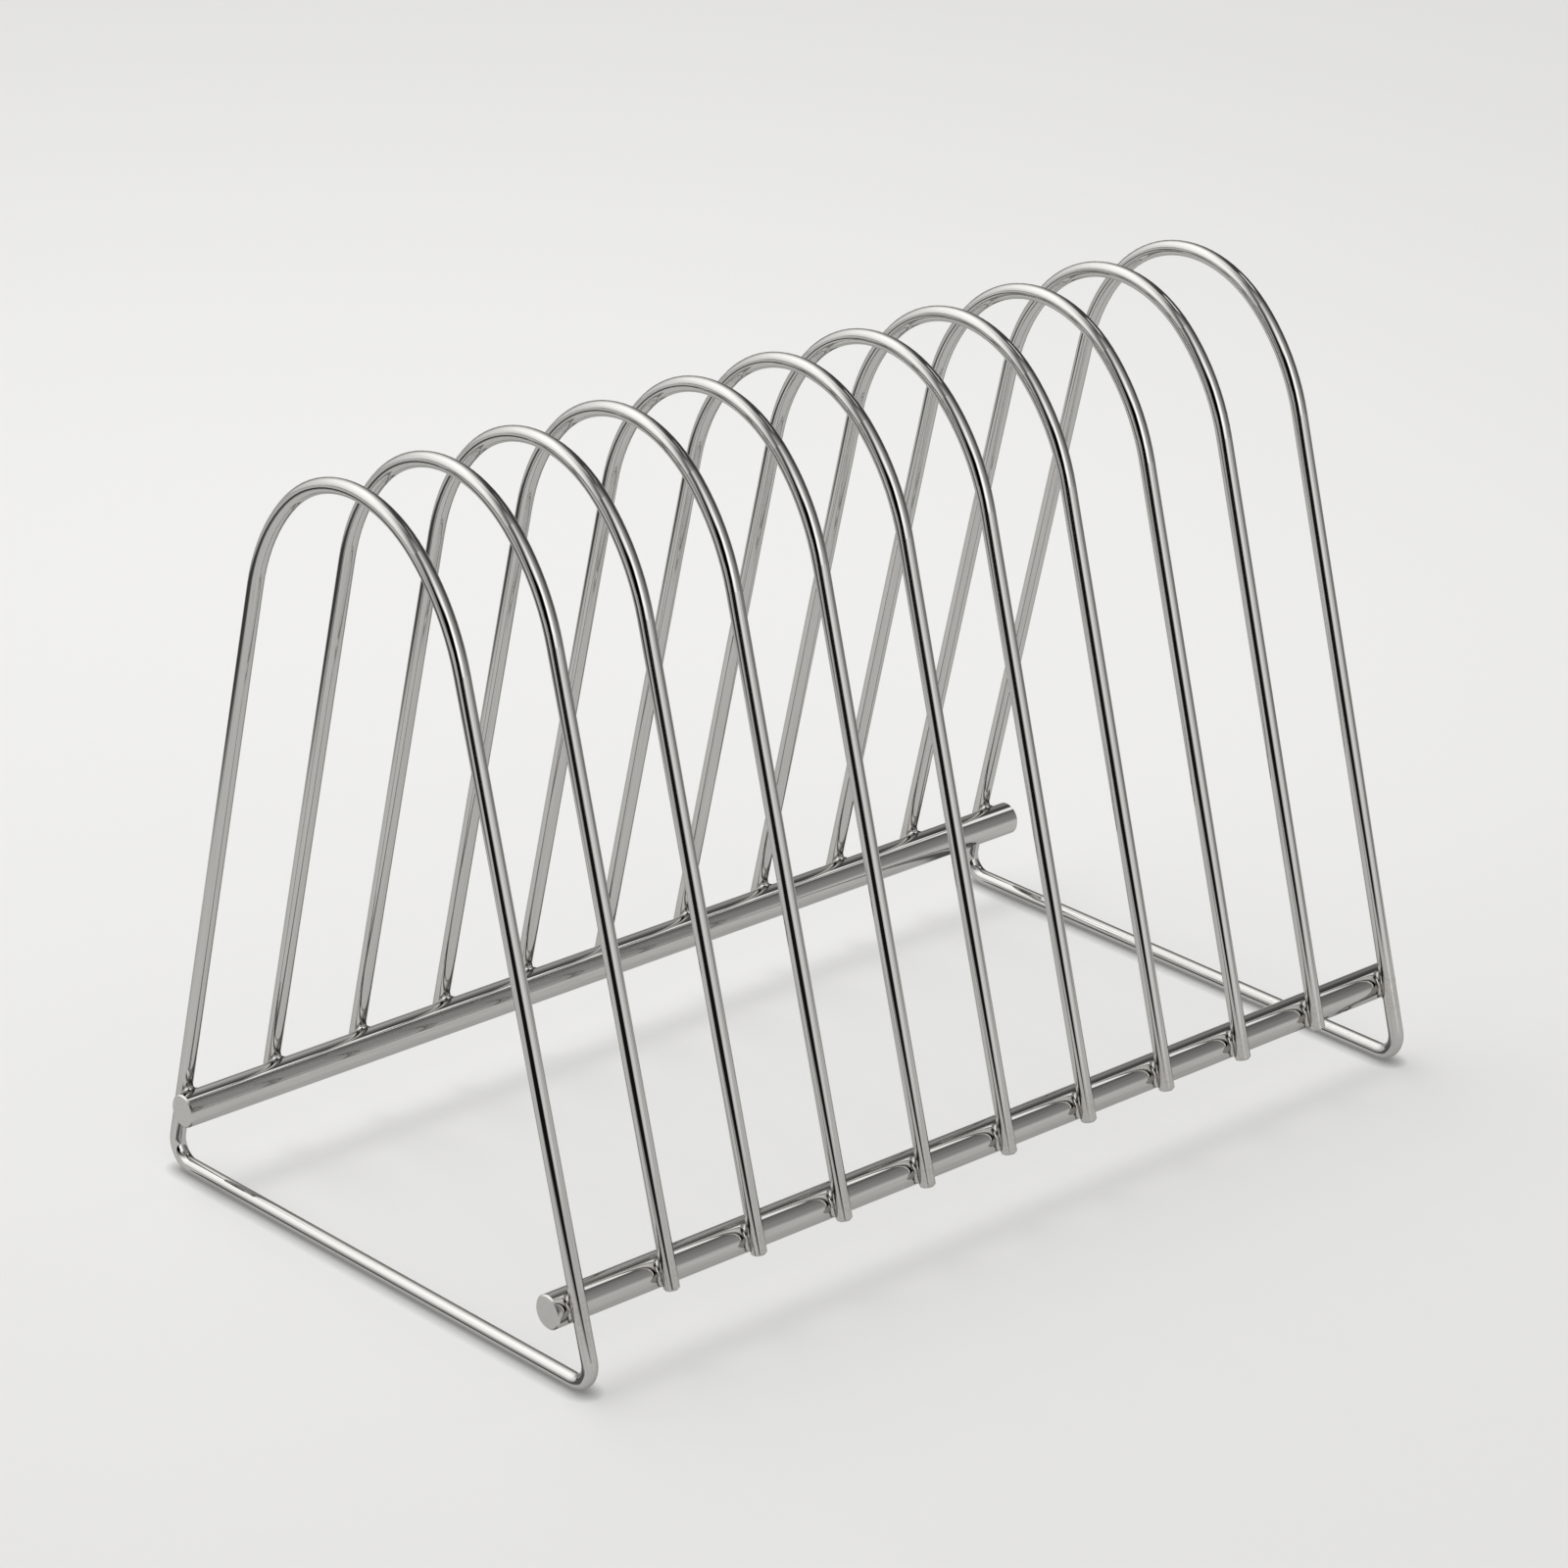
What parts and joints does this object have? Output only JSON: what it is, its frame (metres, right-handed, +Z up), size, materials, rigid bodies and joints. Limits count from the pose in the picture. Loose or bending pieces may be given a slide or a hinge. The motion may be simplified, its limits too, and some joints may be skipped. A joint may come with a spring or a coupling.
{
  "type": "toast rack",
  "caption": "Polished steel wire toast rack: arched wire hoops welded to two round rails, with a closed frame at each end to stand on.",
  "frame": {"origin": "on the table, under the middle of the rack, which is the bottom centre of its box", "axes": "+X along the rails towards the right end frame, +Y across the rack towards the back rail, +Z up"},
  "size_m": [0.2124, 0.1248, 0.1536],
  "materials": {
    "polished_wire": "mirror-polished stainless steel wire with faint drawing lines",
    "polished_rail": "mirror-polished stainless steel bar with satin sheared ends"
  },
  "bodies": {
    "root": {"left_end_frame": "polished_wire", "right_end_frame": "polished_wire", "divider_hoop_1": "polished_wire", "divider_hoop_2": "polished_wire", "divider_hoop_3": "polished_wire", "divider_hoop_4": "polished_wire", "divider_hoop_5": "polished_wire", "divider_hoop_6": "polished_wire", "divider_hoop_7": "polished_wire", "divider_hoop_8": "polished_wire", "divider_hoop_9": "polished_wire", "front_rail": "polished_rail", "back_rail": "polished_rail"}
  },
  "joints": []
}
